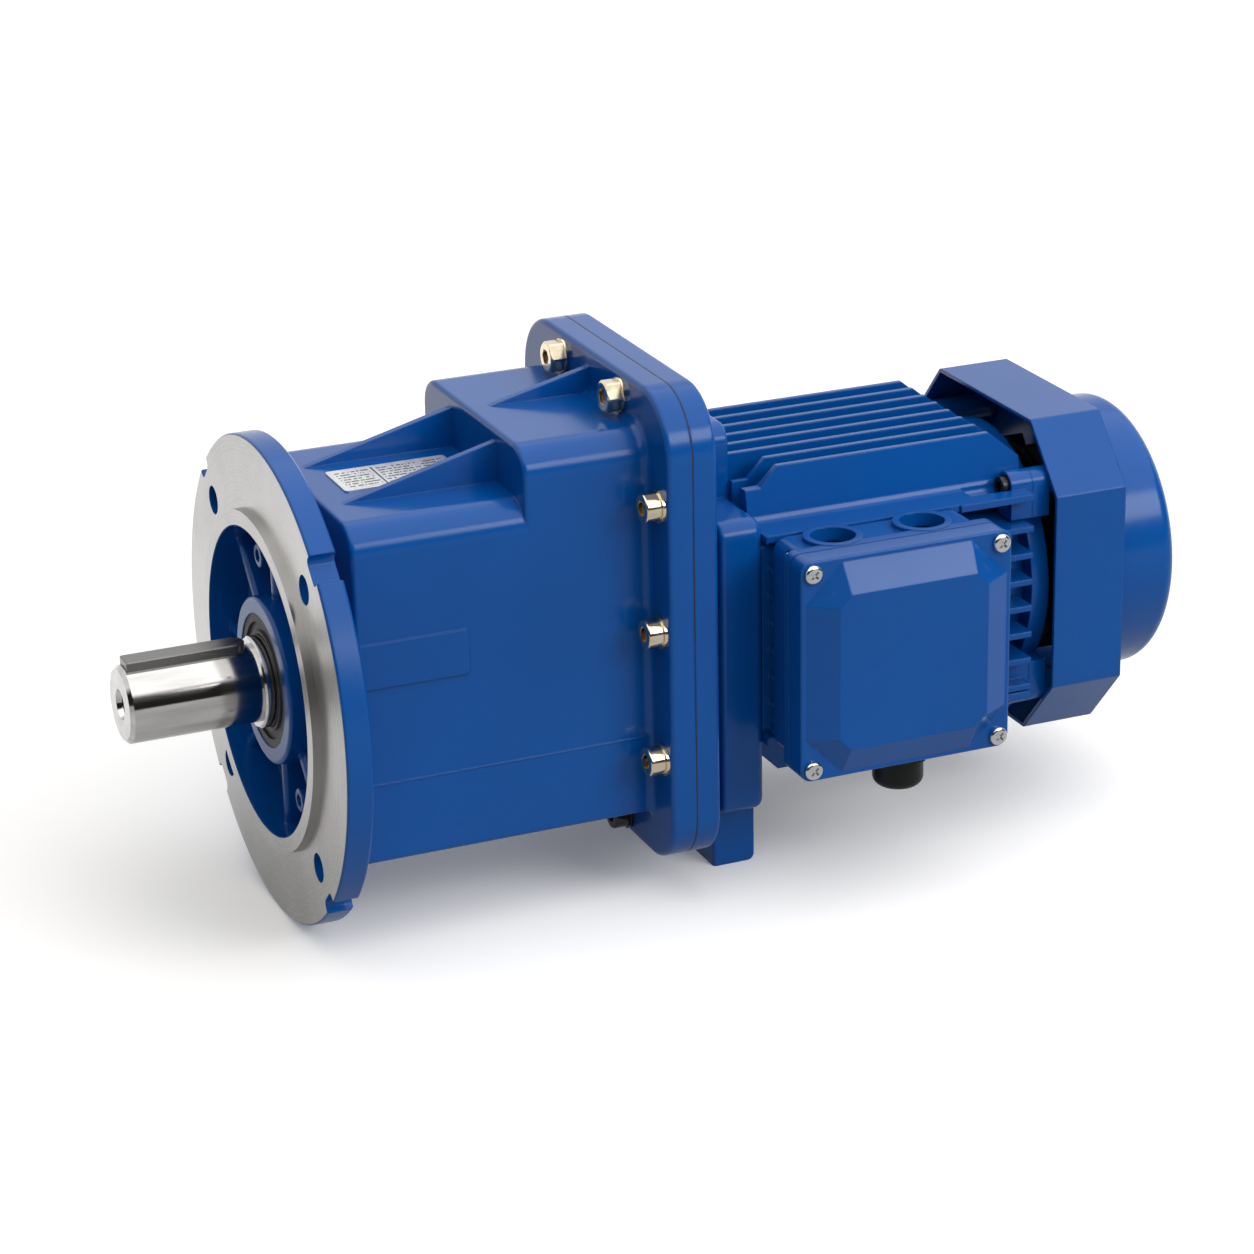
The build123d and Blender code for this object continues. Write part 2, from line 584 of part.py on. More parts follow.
for dowel_y, dowel_z in DOWEL_POINTS:
    cover -= bar(DOWEL_RADIUS + FIT_GAP, PLATE_SPLIT, PLATE_SPLIT + 6.2, dowel_y, dowel_z)
for screw_y, screw_z in MOTOR_SCREW_POINTS:
    cover -= bar(M5_RADIUS + FIT_GAP, COVER_REAR - 11, COVER_REAR + 1, screw_y, screw_z)
save("rear_cover", cover)

save("input_seal", ring(INPUT_SEAL[1], INPUT_SEAL[0], INPUT_SEAL[2], INPUT_SEAL[3], z=MOTOR_Z))

# ---------------------------------------------------------------- output shaft and its gear
GEAR_SEAT_FRONT = 108.0


def key_shape(x0, x1, width, z0, z1):
    """Key or its slot along X: square front end, round rear end."""
    shape = block(x0, x1, -width / 2, width / 2, z0, z1)
    uprights = shape.edges().filter_by(Axis.Z).group_by(Axis.X)
    shape = fillet(uprights[-1], width / 2 - 0.05)
    return fillet(shape.edges().filter_by(Axis.Z).group_by(Axis.X)[0], 0.6)


shaft = bar(SHAFT_RADIUS, SHAFT_END, 1)
shaft = chamfer(shaft.edges().sort_by(Axis.X)[0], 1.6)
collar = bar(COLLAR_RADIUS, COLLAR_FRONT, FRONT_OUTPUT[2])
shaft += chamfer(collar.edges().sort_by(Axis.X)[0], 0.8)
shaft += bar(FRONT_OUTPUT[0] / 2, FRONT_OUTPUT[2], 50) + bar(17, 50, REAR_OUTPUT[2])
shaft += bar(REAR_OUTPUT[0] / 2, REAR_OUTPUT[2], GEAR_SEAT_FRONT)
shaft += bar(GEAR_SEAT_RADIUS, GEAR_SEAT_FRONT, 140)
shaft -= key_shape(KEY_FRONT, KEY_REAR, KEY_WIDTH, SHAFT_RADIUS - KEY_DEPTH, SHAFT_RADIUS + 2)
shaft -= block(LOW_FRONT + 1, LOW_REAR - 1, -GEAR_KEY_WIDTH / 2, GEAR_KEY_WIDTH / 2,
               GEAR_KEY_SEAT, GEAR_SEAT_RADIUS + 2)
shaft -= bar(CENTRE_HOLE_RADIUS, SHAFT_END - 1, SHAFT_END + CENTRE_HOLE_DEPTH)
mouth_rim = CENTRE_HOLE_RADIUS + 1.3
shaft -= Pos(SHAFT_END + 1.1, 0, 0) * Rot(0, 90, 0) * Cone(mouth_rim, CENTRE_HOLE_RADIUS - 0.1, 2.4)
shaft -= ring(SHAFT_RADIUS, GEAR_SEAT_RADIUS - 1, LOW_REAR + 0.2, LOW_REAR + 2.0)
save("output_shaft", shaft)

key_bottom = SHAFT_RADIUS - KEY_DEPTH
output_key = key_shape(KEY_FRONT + 0.1, KEY_REAR - 0.1, KEY_WIDTH - 2 * FIT_GAP,
                       key_bottom, key_bottom + KEY_HEIGHT)
save("output_key", chamfer(output_key.faces().sort_by(Axis.Z)[-1].edges(), 0.5))

output_gear = helical_gear(LOW_GEAR_TEETH, LOW_MODULE, 90, 0.75, LOW_FRONT, LOW_REAR, 0, 1)
output_gear -= bar(GEAR_SEAT_RADIUS + FIT_GAP, LOW_FRONT - 1, LOW_REAR + 1)
output_gear -= block(LOW_FRONT - 1, LOW_REAR + 1, -GEAR_KEY_WIDTH / 2, GEAR_KEY_WIDTH / 2,
                     GEAR_KEY_SEAT, GEAR_KEY_TOP + 0.2)
for x0, x1 in ((LOW_FRONT - 1, LOW_FRONT + 5), (LOW_REAR - 5, LOW_REAR + 1)):
    output_gear -= ring(40, 24, x0, x1)
save("output_gear", output_gear)
save("output_gear_key", block(
    LOW_FRONT + 1.1, LOW_REAR - 1.1, -GEAR_KEY_WIDTH / 2 + FIT_GAP, GEAR_KEY_WIDTH / 2 - FIT_GAP,
    GEAR_KEY_SEAT, GEAR_KEY_TOP))
spacer = ring(18.0, REAR_OUTPUT[0] / 2 + 0.1, REAR_OUTPUT[3], GEAR_SEAT_FRONT + 0.1)
spacer += ring(18.0, GEAR_SEAT_RADIUS + 0.1, GEAR_SEAT_FRONT, LOW_FRONT)
save("output_gear_spacer", spacer)
clip = ring(16.5, GEAR_SEAT_RADIUS - 0.9, LOW_REAR + 0.3, LOW_REAR + 1.9)
save("output_gear_circlip", clip - block(LOW_REAR, LOW_REAR + 3, -3, 3, -20, 0))

# ---------------------------------------------------------------- layshaft
PINION_HEAD = 1.0
pinion_front = LOW_FRONT - PINION_HEAD
low_pinion_at = 270 + 180 / LOW_PINION_TEETH
low_pinion_at += twist_before(LOW_PINION_TEETH, LOW_MODULE, -PINION_HEAD, -1)
layshaft = helical_gear(LOW_PINION_TEETH, LOW_MODULE, low_pinion_at, 0.9,
                        pinion_front, LOW_REAR + PINION_HEAD, LAYSHAFT_Z, -1)
layshaft += bar(7.5, FRONT_LAYSHAFT[2], FRONT_LAYSHAFT[3] + 1, z=LAYSHAFT_Z)
layshaft += bar(9.2, FRONT_LAYSHAFT[3], pinion_front + 0.5, z=LAYSHAFT_Z)
layshaft += bar(12, LOW_REAR + PINION_HEAD - 0.5, HIGH_FRONT, z=LAYSHAFT_Z)
layshaft += bar(10, HIGH_FRONT - 1, HIGH_REAR, z=LAYSHAFT_Z)
layshaft += bar(8.5, HIGH_REAR - 1, REAR_LAYSHAFT[3] - 0.5, z=LAYSHAFT_Z)
layshaft -= block(HIGH_FRONT + 0.5, HIGH_REAR + 1, -3, 3, LAYSHAFT_Z + 6.5, LAYSHAFT_Z + 14)
save("layshaft_pinion", layshaft)

layshaft_gear = helical_gear(HIGH_GEAR_TEETH, HIGH_MODULE, 270, 0.9, HIGH_FRONT, HIGH_REAR,
                             LAYSHAFT_Z, 1)
layshaft_gear -= bar(10 + FIT_GAP, HIGH_FRONT - 1, HIGH_REAR + 1, z=LAYSHAFT_Z)
layshaft_gear -= block(HIGH_FRONT - 1, HIGH_REAR + 1, -3, 3, LAYSHAFT_Z, LAYSHAFT_Z + 12.8)
layshaft_gear -= ring(34, 18, HIGH_REAR - 3, HIGH_REAR + 1, z=LAYSHAFT_Z)
save("layshaft_gear", layshaft_gear)
save("layshaft_key", block(HIGH_FRONT + 0.6, HIGH_REAR - 0.2, -3 + FIT_GAP, 3 - FIT_GAP,
                           LAYSHAFT_Z + 6.5, LAYSHAFT_Z + 12.5))
save("layshaft_spacer", ring(12, 8.5 + 0.1, HIGH_REAR, REAR_LAYSHAFT[2], z=LAYSHAFT_Z))

# ---------------------------------------------------------------- rotor
motor_shaft = bar(7, HIGH_FRONT - 2, 166, z=MOTOR_Z) + bar(10, 164, FRONT_MOTOR[3], z=MOTOR_Z)
motor_shaft += bar(12, FRONT_MOTOR[3], 302, z=MOTOR_Z) + bar(10, 301, REAR_MOTOR[2], z=MOTOR_Z)
motor_shaft += bar(7.5, REAR_MOTOR[2] - 1, REAR_MOTOR[3] + 1, z=MOTOR_Z)
motor_shaft += bar(7, REAR_MOTOR[3], 366, z=MOTOR_Z)
motor_shaft -= ring(10, 6.2, 362.2, 363.6, z=MOTOR_Z)
motor_shaft = chamfer(motor_shaft.edges().sort_by(Axis.X)[-1], 0.8)
save("motor_shaft", motor_shaft)

high_pinion_at = 90 + 180 / HIGH_PINION_TEETH
high_pinion_at += twist_before(HIGH_PINION_TEETH, HIGH_MODULE, -1, -1)
input_pinion = helical_gear(HIGH_PINION_TEETH, HIGH_MODULE, high_pinion_at, 0.9,
                            HIGH_FRONT - 1, HIGH_REAR + 1, MOTOR_Z, -1)
input_pinion += bar(10.5, HIGH_REAR, 164, z=MOTOR_Z)
input_pinion -= bar(7 + FIT_GAP, HIGH_FRONT - 3, 166, z=MOTOR_Z)
save("input_pinion", input_pinion)

save("rotor_core", ring(26.5, 12 + FIT_GAP, CORE_FRONT, CORE_REAR, z=MOTOR_Z))
cage = Part()
for x0, x1 in ((CORE_FRONT - 7, CORE_FRONT), (CORE_REAR, CORE_REAR + 7)):
    cage += ring(26, 17, x0, x1, z=MOTOR_Z)
save("rotor_end_rings", group([cage]))

FAN_FRONT = 338.0
FAN_REAR = 362.0
FAN_RADIUS = 48.0
fan = ring(11, 7 + FIT_GAP, FAN_FRONT, FAN_REAR, z=MOTOR_Z)
fan += ring(FAN_RADIUS - 2, 10, FAN_FRONT, FAN_FRONT + 2.5, z=MOTOR_Z)
for turn in range(7):
    blade = block(FAN_FRONT + 1, FAN_REAR - 2, 10, FAN_RADIUS, -1.1, 1.1)
    fan += Pos(0, 0, MOTOR_Z) * Rot(360 / 7 * turn, 0, 0) * blade
save("cooling_fan", fan)
save("fan_circlip", ring(9.5, 6.4, FAN_REAR + 0.3, FAN_REAR + 1.5, z=MOTOR_Z)
     - block(FAN_REAR, FAN_REAR + 2, -2, 2, MOTOR_Z - 12, MOTOR_Z))

# ---------------------------------------------------------------- motor frame and stator
SIDE_FIN_HEIGHTS = [0.2 + SIDE_FIN_PITCH * step for step in range(-3, 4)]
TOP_FIN_YS = [side * (5.65 + 11.3 * step) for side in (-1, 1) for step in range(3)]
LUG_POINTS = [(side * LUG_Y, MOTOR_Z + rise) for side in (-1, 1) for rise in (-LUG_RISE, LUG_RISE)]
LUG_RADIUS = 6.0
LUG_FRONT = 308.0
SHIELD_RADIUS = 57.0
FRONT_FLANGE_HALF = 58.0
FRONT_FLANGE_REAR = 199.0
FIN_REAR = 315.0


def lug(x0, x1, y, z):
    """Screw lug along X with a round back, rooted towards the motor's axis."""
    inner_z = MOTOR_Z + (z - MOTOR_Z) * 0.7
    root = block(x0, x1, y - LUG_RADIUS, y + LUG_RADIUS, min(z, inner_z), max(z, inner_z))
    return root + bar(LUG_RADIUS, x0, x1, y, z)


def fin_side(front_drop):
    """Side view of one top fin: dipped front end and sloping rear end."""
    points = [(COVER_REAR, 40), (COVER_REAR, FIN_TOP - front_drop), (200, FIN_TOP - front_drop),
              (208, FIN_TOP), (305, FIN_TOP), (FRAME_REAR, 61), (FRAME_REAR, 40), (COVER_REAR, 40)]
    return make_face(Polyline(*points))


def outer_fin():
    """Cross-section of the outermost top fin, thicker towards the ledge."""
    points = [(36, 30), (38.2, FIN_TOP), (40.6, FIN_TOP), (44.6, LEDGE_TOP + 2.4),
              (45.5, LEDGE_TOP + 0.7), (47.6, LEDGE_TOP - 0.2), (47.6, 47), (36, 30)]
    return make_face(Polyline(*points))


frame = bar(FRAME_TUBE_OUTER, COVER_REAR, FRAME_REAR, z=MOTOR_Z)
frame += along_x(rounded(-FRONT_FLANGE_HALF, FRONT_FLANGE_HALF, -41, 49, 8, 8),
                 COVER_REAR, FRONT_FLANGE_REAR)
upper_fins = Part()
for fin_y in TOP_FIN_YS:
    drop = 0.0 if abs(fin_y) < 20 else 8.0
    upper_fins += along_y(fin_side(drop), fin_y - FIN_THICK / 2, fin_y + FIN_THICK / 2)
edge_fin = along_x(outer_fin(), COVER_REAR, FRAME_REAR) & along_y(fin_side(8.0), 30, 50)
upper_fins += edge_fin + mirror(edge_fin, Plane.XZ)
for side in (-1, 1):
    far = side * SIDE_FIN_REACH
    ledge = block(COVER_REAR, FIN_REAR, min(side * 20, far), max(side * 20, far), LEDGE_TOP - 3, LEDGE_TOP)
    upper_fins += ledge
lower_fins = mirror(upper_fins, Plane.XY.offset(MOTOR_Z))
frame += upper_fins + lower_fins
for side in (-1, 1):
    far = side * SIDE_FIN_REACH
    for fin_z in SIDE_FIN_HEIGHTS:
        fin = block(SIDE_FIN_FRONT, FIN_REAR, min(side * 20, far), max(side * 20, far),
                    fin_z - FIN_THICK / 2, fin_z + FIN_THICK / 2)
        frame += fin
frame += block(198, 277, BOX_BACK_Y, -30, -34, 45)
frame -= block(COVER_REAR + 0.5, 281, -SIDE_FIN_REACH - 1, BOX_BACK_Y, -42, LEDGE_TOP + 1)
for lug_y, lug_z in LUG_POINTS:
    frame += lug(LUG_FRONT, FRAME_REAR, lug_y, lug_z)
frame -= bar(FRAME_TUBE_INNER, COVER_REAR - 1, FRAME_REAR + 5, z=MOTOR_Z)
for lug_y, lug_z in LUG_POINTS:
    frame -= bar(M5_RADIUS + FIT_GAP, LUG_FRONT, FRAME_REAR + 1, lug_y, lug_z)
    frame -= bar(4.6, 290, LUG_FRONT + 1.5, lug_y, lug_z)
for screw_y, screw_z in MOTOR_SCREW_POINTS:
    frame -= bar(2.8, COVER_REAR - 1, 200, screw_y, screw_z)
    if screw_y < 0:
        frame -= bar(5, FRONT_FLANGE_REAR, 216, screw_y, screw_z)
BOX_SCREW_POINTS = [(x, z) for x in (206.0, 269.0) for z in (-26.0, 37.0)]
for screw_x, screw_z in BOX_SCREW_POINTS:
    frame -= crossbar(2 + FIT_GAP, BOX_BACK_Y - 1, BOX_BACK_Y + 8, screw_x, screw_z)
frame -= crossbar(9, BOX_BACK_Y - 1, -40, LID_X, LID_Z)
save("motor_frame", frame)

save("motor_screws", group([
    cap_screw(M5_RADIUS, 4.2, 5, FRONT_FLANGE_REAR, 16, y, z, direction=-1)
    for y, z in MOTOR_SCREW_POINTS]))

stator_core = ring(FRAME_TUBE_INNER - FIT_GAP, 27, CORE_FRONT, CORE_REAR, z=MOTOR_Z)
save("stator_core", stator_core)
windings = [ring(40, 29.5, x0, x1, z=MOTOR_Z)
            for x0, x1 in ((CORE_FRONT - 13, CORE_FRONT), (CORE_REAR, CORE_REAR + 13))]
save("stator_windings", group([fillet(turns.edges(), 3.0) for turns in windings]))

# ---------------------------------------------------------------- rear end shield
shield = bar(SHIELD_RADIUS, FRAME_REAR, SHIELD_REAR, z=MOTOR_Z)
shield += bar(FRAME_TUBE_INNER - FIT_GAP, FRAME_REAR - 4, FRAME_REAR + 1, z=MOTOR_Z)
shield -= bar(FRAME_TUBE_INNER - 5, FRAME_REAR - 5, FRAME_REAR + 2, z=MOTOR_Z)
shield += bar(22, REAR_MOTOR[2] - 2, SHIELD_REAR, z=MOTOR_Z)
shield -= bearing_bore(REAR_MOTOR, x0=REAR_MOTOR[2] - 3, x1=REAR_MOTOR[3] + 2)
shield -= bar(9, FRAME_REAR, SHIELD_REAR + 1, z=MOTOR_Z)
for lug_y, lug_z in LUG_POINTS:
    shield += lug(FRAME_REAR, SHIELD_REAR, lug_y, lug_z)
    shield += bar(LUG_RADIUS, SHIELD_REAR - 1, COWL_SHOULDER - COWL_SHEET, lug_y, lug_z)
for lug_y, lug_z in LUG_POINTS:
    shield -= bar(M5_RADIUS + FIT_GAP, FRAME_REAR - 1, 331, lug_y, lug_z)
    shield -= bar(M5_RADIUS + FIT_GAP, 345, COWL_SHOULDER, lug_y, lug_z)
save("rear_end_shield", shield)
wave_spring = ring(17.3, 14.5, REAR_MOTOR[3] + 0.1, REAR_MOTOR[3] + 1.9, z=MOTOR_Z)
save("wave_spring", wave_spring)
save("shield_screws", group([
    cap_screw(M5_RADIUS, 4.25, 4.5, LUG_FRONT + 1.5, 21, y, z) for y, z in LUG_POINTS]))

# ---------------------------------------------------------------- fan cowl
COWL_Z = 5.4


def octagon(inset):
    """Outline of the cowl's front band, drawn in (Y, Z) about its own centre."""
    wide, high = OCTAGON_HALF_WIDTH - inset, OCTAGON_HALF_HEIGHT - inset
    top, side = OCTAGON_TOP_HALF - 0.45 * inset, OCTAGON_SIDE_HALF - 0.35 * inset
    quarter = [(wide, side), (top, high), (-top, high), (-wide, side)]
    outline = quarter + [(-y, -z) for y, z in quarter]
    return make_face(Polyline(*outline, outline[0]))


def drum(radius, x0, x1, edge_radius):
    """Round drum with a rounded rear edge."""
    shape = bar(radius, x0, x1, z=COWL_Z)
    return fillet(shape.edges().sort_by(Axis.X)[-1], edge_radius)


band = Pos(0, 0, COWL_Z) * along_x(octagon(0), COWL_FRONT, COWL_SHOULDER)
band = fillet(band.edges().filter_by(Axis.X), 1.5)
cowl = band + drum(DRUM_RADIUS, COWL_SHOULDER - 1, COWL_REAR, 6)
cowl -= Pos(0, 0, COWL_Z) * along_x(octagon(COWL_SHEET), COWL_FRONT - 1, COWL_SHOULDER - COWL_SHEET)
cowl -= drum(DRUM_RADIUS - COWL_SHEET, COWL_SHOULDER - 3, COWL_REAR - COWL_SHEET, 4.4)
SLOT_HALF = 2.4
slots = Part()
for slot_radius in (14, 22, 30, 38, 46):
    slots += ring(slot_radius + SLOT_HALF, slot_radius - SLOT_HALF, COWL_REAR - 3, COWL_REAR + 1, z=COWL_Z)
for turn in range(6):
    spoke = block(COWL_REAR - 4, COWL_REAR + 2, 0, 60, -2, 2)
    slots -= Pos(0, 0, COWL_Z) * Rot(60 * turn + 30, 0, 0) * spoke
cowl -= slots
for lug_y, lug_z in LUG_POINTS:
    cowl -= bar(2.8, COWL_SHOULDER - 3, COWL_SHOULDER + 1, lug_y, lug_z)
save("fan_cowl", cowl)
save("cowl_screws", group([
    cap_screw(M5_RADIUS, 4.2, 3, COWL_SHOULDER, 11, y, z, direction=-1) for y, z in LUG_POINTS]))

# ---------------------------------------------------------------- terminal box
BOX_LEFT = LID_X - BOX_WIDTH / 2
BOX_RIGHT = LID_X + BOX_WIDTH / 2
BOX_BOTTOM = 2 * LID_Z - BOX_TOP
BOX_WALL = 4.0
BOX_FLANGE_DEPTH = 5.0
SEAT_GASKET = 1.0
LID_GASKET = 0.8
LID_SCREW_POINTS = [(LID_X + side * (LID_SIZE / 2 - LID_SCREW_INSET),
                     LID_Z + rise * (LID_SIZE / 2 - LID_SCREW_INSET))
                    for side in (-1, 1) for rise in (-1, 1)]


def soft_square(size, radius):
    """Square with rounded corners, centred on the lid."""
    return Pos(LID_X, LID_Z) * RectangleRounded(size, size, radius)


box_back = BOX_BACK_Y - SEAT_GASKET
box = along_y(Pos(LID_X, LID_Z) * RectangleRounded(BOX_WIDTH, BOX_TOP - BOX_BOTTOM, 6),
              BOX_FRONT_Y, box_back)
box = fillet(box.faces().sort_by(Axis.Y)[-1].edges(), 3.0)
box += along_y(soft_square(LID_SIZE, 5), BOX_FRONT_Y, BOX_FRONT_Y + BOX_FLANGE_DEPTH)
for entry_x in ENTRY_X:
    box += upright(12.2, BOX_TOP - 2, BOX_TOP + 2, entry_x, ENTRY_Y)
box += upright(12.2, BOX_BOTTOM - 2, BOX_BOTTOM + 2, GLAND_X, ENTRY_Y)
cavity = along_y(Pos(LID_X, LID_Z) * RectangleRounded(
    BOX_WIDTH - 2 * BOX_WALL, BOX_TOP - BOX_BOTTOM - 2 * BOX_WALL, 4),
    BOX_FRONT_Y - 1, box_back - BOX_WALL)
for screw_x, screw_z in LID_SCREW_POINTS:
    cavity -= crossbar(5, BOX_FRONT_Y - 1, box_back, screw_x, screw_z)
box -= cavity
for entry_x in ENTRY_X:
    box -= upright(ENTRY_RADIUS, BOX_TOP - BOX_WALL - 3, BOX_TOP + 3, entry_x, ENTRY_Y)
box -= upright(10.3, BOX_BOTTOM - 3, BOX_BOTTOM + BOX_WALL + 2, GLAND_X, ENTRY_Y)
for screw_x, screw_z in LID_SCREW_POINTS:
    box -= crossbar(2 + FIT_GAP, BOX_FRONT_Y - 1, BOX_FRONT_Y + 14, screw_x, screw_z)
for screw_x, screw_z in BOX_SCREW_POINTS:
    box -= crossbar(2.3, box_back - BOX_WALL - 1, box_back + 1, screw_x, screw_z)
box -= crossbar(9, box_back - BOX_WALL - 1, box_back + 1, LID_X, LID_Z)
save("terminal_box", box)

seat_gasket = along_y(Pos(LID_X, LID_Z) * RectangleRounded(76, 76, 4), box_back, BOX_BACK_Y)
seat_gasket -= crossbar(9.5, box_back - 1, BOX_BACK_Y + 1, LID_X, LID_Z)
for screw_x, screw_z in BOX_SCREW_POINTS:
    seat_gasket -= crossbar(2.5, box_back - 1, BOX_BACK_Y + 1, screw_x, screw_z)
save("box_gasket", seat_gasket)

lid_back = BOX_FRONT_Y - LID_GASKET
lid_gasket = along_y(soft_square(LID_SIZE - 3, 4), lid_back, BOX_FRONT_Y)
lid_gasket -= along_y(soft_square(LID_SIZE - 22, 4), lid_back - 1, BOX_FRONT_Y + 1)
for screw_x, screw_z in LID_SCREW_POINTS:
    lid_gasket -= crossbar(2.5, lid_back - 1, BOX_FRONT_Y + 1, screw_x, screw_z)
save("lid_gasket", lid_gasket)


def cut_corner_square(size, cut):
    """Square with its corners cut off, centred on the lid."""
    half = size / 2
    quarter = [(half, half - cut), (half - cut, half), (cut - half, half), (-half, half - cut)]
    outline = quarter + [(-x, -z) for x, z in quarter]
    return Pos(LID_X, LID_Z) * make_face(Polyline(*outline, outline[0]))


lid = along_y(soft_square(LID_SIZE, 5), LID_RIM_Y, lid_back)
lid = fillet(lid.faces().sort_by(Axis.Y)[0].edges(), 1.0)
raised = loft([
    Plane.XZ.offset(-LID_RIM_Y - 0.5) * cut_corner_square(LID_SIZE - 2.4, LID_CORNER_CUT),
    Plane.XZ.offset(-LID_PANEL_Y) * cut_corner_square(LID_PANEL_SIZE, 5.0)], ruled=True)
lid += raised
lid_hollow = along_y(soft_square(LID_SIZE - 24, 4), LID_RIM_Y - 3, lid_back + 1)
lid -= lid_hollow
for screw_x, screw_z in LID_SCREW_POINTS:
    lid -= crossbar(2.3, LID_RIM_Y - 2, lid_back + 1, screw_x, screw_z)
save("terminal_lid", lid)


def lid_screw(x, z):
    """Pan-head screw with a cross recess, its head towards -Y."""
    head = crossbar(3.9, LID_RIM_Y - 2.4, LID_RIM_Y, x, z)
    head = fillet(head.edges().sort_by(Axis.Y)[0], 1.4)
    for turn in (45, 135):
        slot = Pos(x, LID_RIM_Y - 2.2, z) * Rot(0, turn, 0) * Box(4.0, 2.0, 0.9)
        head -= slot
    return head + crossbar(2, LID_RIM_Y, LID_RIM_Y + 22, x, z)


save("lid_screws", group([lid_screw(x, z) for x, z in LID_SCREW_POINTS]))


def box_screw(x, z):
    """Screw that holds the box on its seat, its head inside the box."""
    seat = box_back - BOX_WALL
    return crossbar(3.6, seat - 2.6, seat, x, z) + crossbar(2, seat, BOX_BACK_Y + 7, x, z)


save("box_screws", group([box_screw(x, z) for x, z in BOX_SCREW_POINTS]))

# Terminal board with its six studs
STUD_RADIUS = 2.0
BOARD_BACK = box_back - BOX_WALL
board = block(LID_X - 26, LID_X + 26, BOARD_BACK - 8, BOARD_BACK, LID_Z - 21, LID_Z + 1)
STUD_POINTS = [(LID_X + 16 * column, LID_Z - 16 + 12 * row)
               for column in (-1, 0, 1) for row in (0, 1)]
board -= crossbar(9, BOARD_BACK - 9, BOARD_BACK + 1, LID_X, LID_Z + 6)
for stud_x, stud_z in STUD_POINTS:
    board -= crossbar(STUD_RADIUS + FIT_GAP, BOARD_BACK - 9, BOARD_BACK - 2, stud_x, stud_z)
save("terminal_board", board)


def stud(x, z):
    """Terminal stud with its nut."""
    outline = RegularPolygon(3.5, 6, major_radius=False)
    nut = Pos(x, 0, z) * along_y(outline, BOARD_BACK - 11.2, BOARD_BACK - 8)
    return nut + crossbar(STUD_RADIUS, BOARD_BACK - 15, BOARD_BACK - 2.1, x, z)


save("terminal_studs", group([stud(x, z) for x, z in STUD_POINTS]))

# ---------------------------------------------------------------- cable gland under the box
GLAND_SEAT = BOX_BOTTOM - 2
body = upright(10, GLAND_SEAT - 1, GLAND_SEAT + BOX_WALL + 3.5, GLAND_X, ENTRY_Y)
body += Pos(GLAND_X, ENTRY_Y, 0) * extrude(
    Plane.XY.offset(GLAND_SEAT - 6) * RegularPolygon(11.5, 6, major_radius=False), amount=6)
body += upright(8.5, GLAND_SEAT - 13, GLAND_SEAT - 6, GLAND_X, ENTRY_Y)
body -= upright(6.5, GLAND_SEAT - 14, GLAND_SEAT + BOX_WALL + 7, GLAND_X, ENTRY_Y)
save("gland_body", body)
dome = upright(10.6, GLAND_SEAT - 18.7, GLAND_SEAT - 6.3, GLAND_X, ENTRY_Y)
dome = fillet(dome.edges().filter_by(GeomType.CIRCLE).sort_by(Axis.Z)[0], 4.0)
dome -= upright(8.5 + FIT_GAP, GLAND_SEAT - 13, GLAND_SEAT - 6, GLAND_X, ENTRY_Y)
dome -= upright(5.6, GLAND_SEAT - 20, GLAND_SEAT - 5, GLAND_X, ENTRY_Y)
save("gland_nut", dome)
gland_seal = upright(6.4, GLAND_SEAT - 13, GLAND_SEAT - 3, GLAND_X, ENTRY_Y)
gland_seal -= upright(4.0, GLAND_SEAT - 14, GLAND_SEAT - 2, GLAND_X, ENTRY_Y)
save("gland_seal", gland_seal)
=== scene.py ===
"""Looks of the in-line helical gearbox with its motor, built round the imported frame.

Metres, +Z up, in the row frame: the output shaft points to -X, the terminal box to -Y.
Sections: node helpers, materials, which material goes where, stage and camera, sizes.
Every visible shape is a CAD node, so nothing is added here except looks, light and camera.
"""
import math

import bpy
from mathutils import Matrix, Vector


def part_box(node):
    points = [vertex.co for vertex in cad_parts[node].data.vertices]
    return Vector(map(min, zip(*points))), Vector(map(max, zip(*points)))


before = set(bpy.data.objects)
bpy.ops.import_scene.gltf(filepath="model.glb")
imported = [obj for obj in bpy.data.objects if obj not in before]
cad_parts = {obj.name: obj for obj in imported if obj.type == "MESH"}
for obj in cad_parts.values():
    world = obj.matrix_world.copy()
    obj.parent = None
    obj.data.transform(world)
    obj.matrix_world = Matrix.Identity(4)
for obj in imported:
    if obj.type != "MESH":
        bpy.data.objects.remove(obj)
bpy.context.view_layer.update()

MM = 0.001


def axis_height(node):
    """Height of the shaft that a round node turns on or sits round."""
    low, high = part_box(node)
    return (low.z + high.z) / 2


MOTOR_Z = axis_height("rotor_core")
LAYSHAFT_Z = axis_height("layshaft_inner_rings")
FLOOR_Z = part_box("rear_cover")[0].z


# ---------------------------------------------------------------- node helpers
# A noise texture's values seldom leave this range
NOISE_LOW = 0.3
NOISE_HIGH = 0.7
# Sockets of a Mix node by number, since the names repeat for each kind of value
MIX_COLOURS = (6, 7)
MIX_NUMBERS = (2, 3)
MIX_VECTORS = (4, 5)


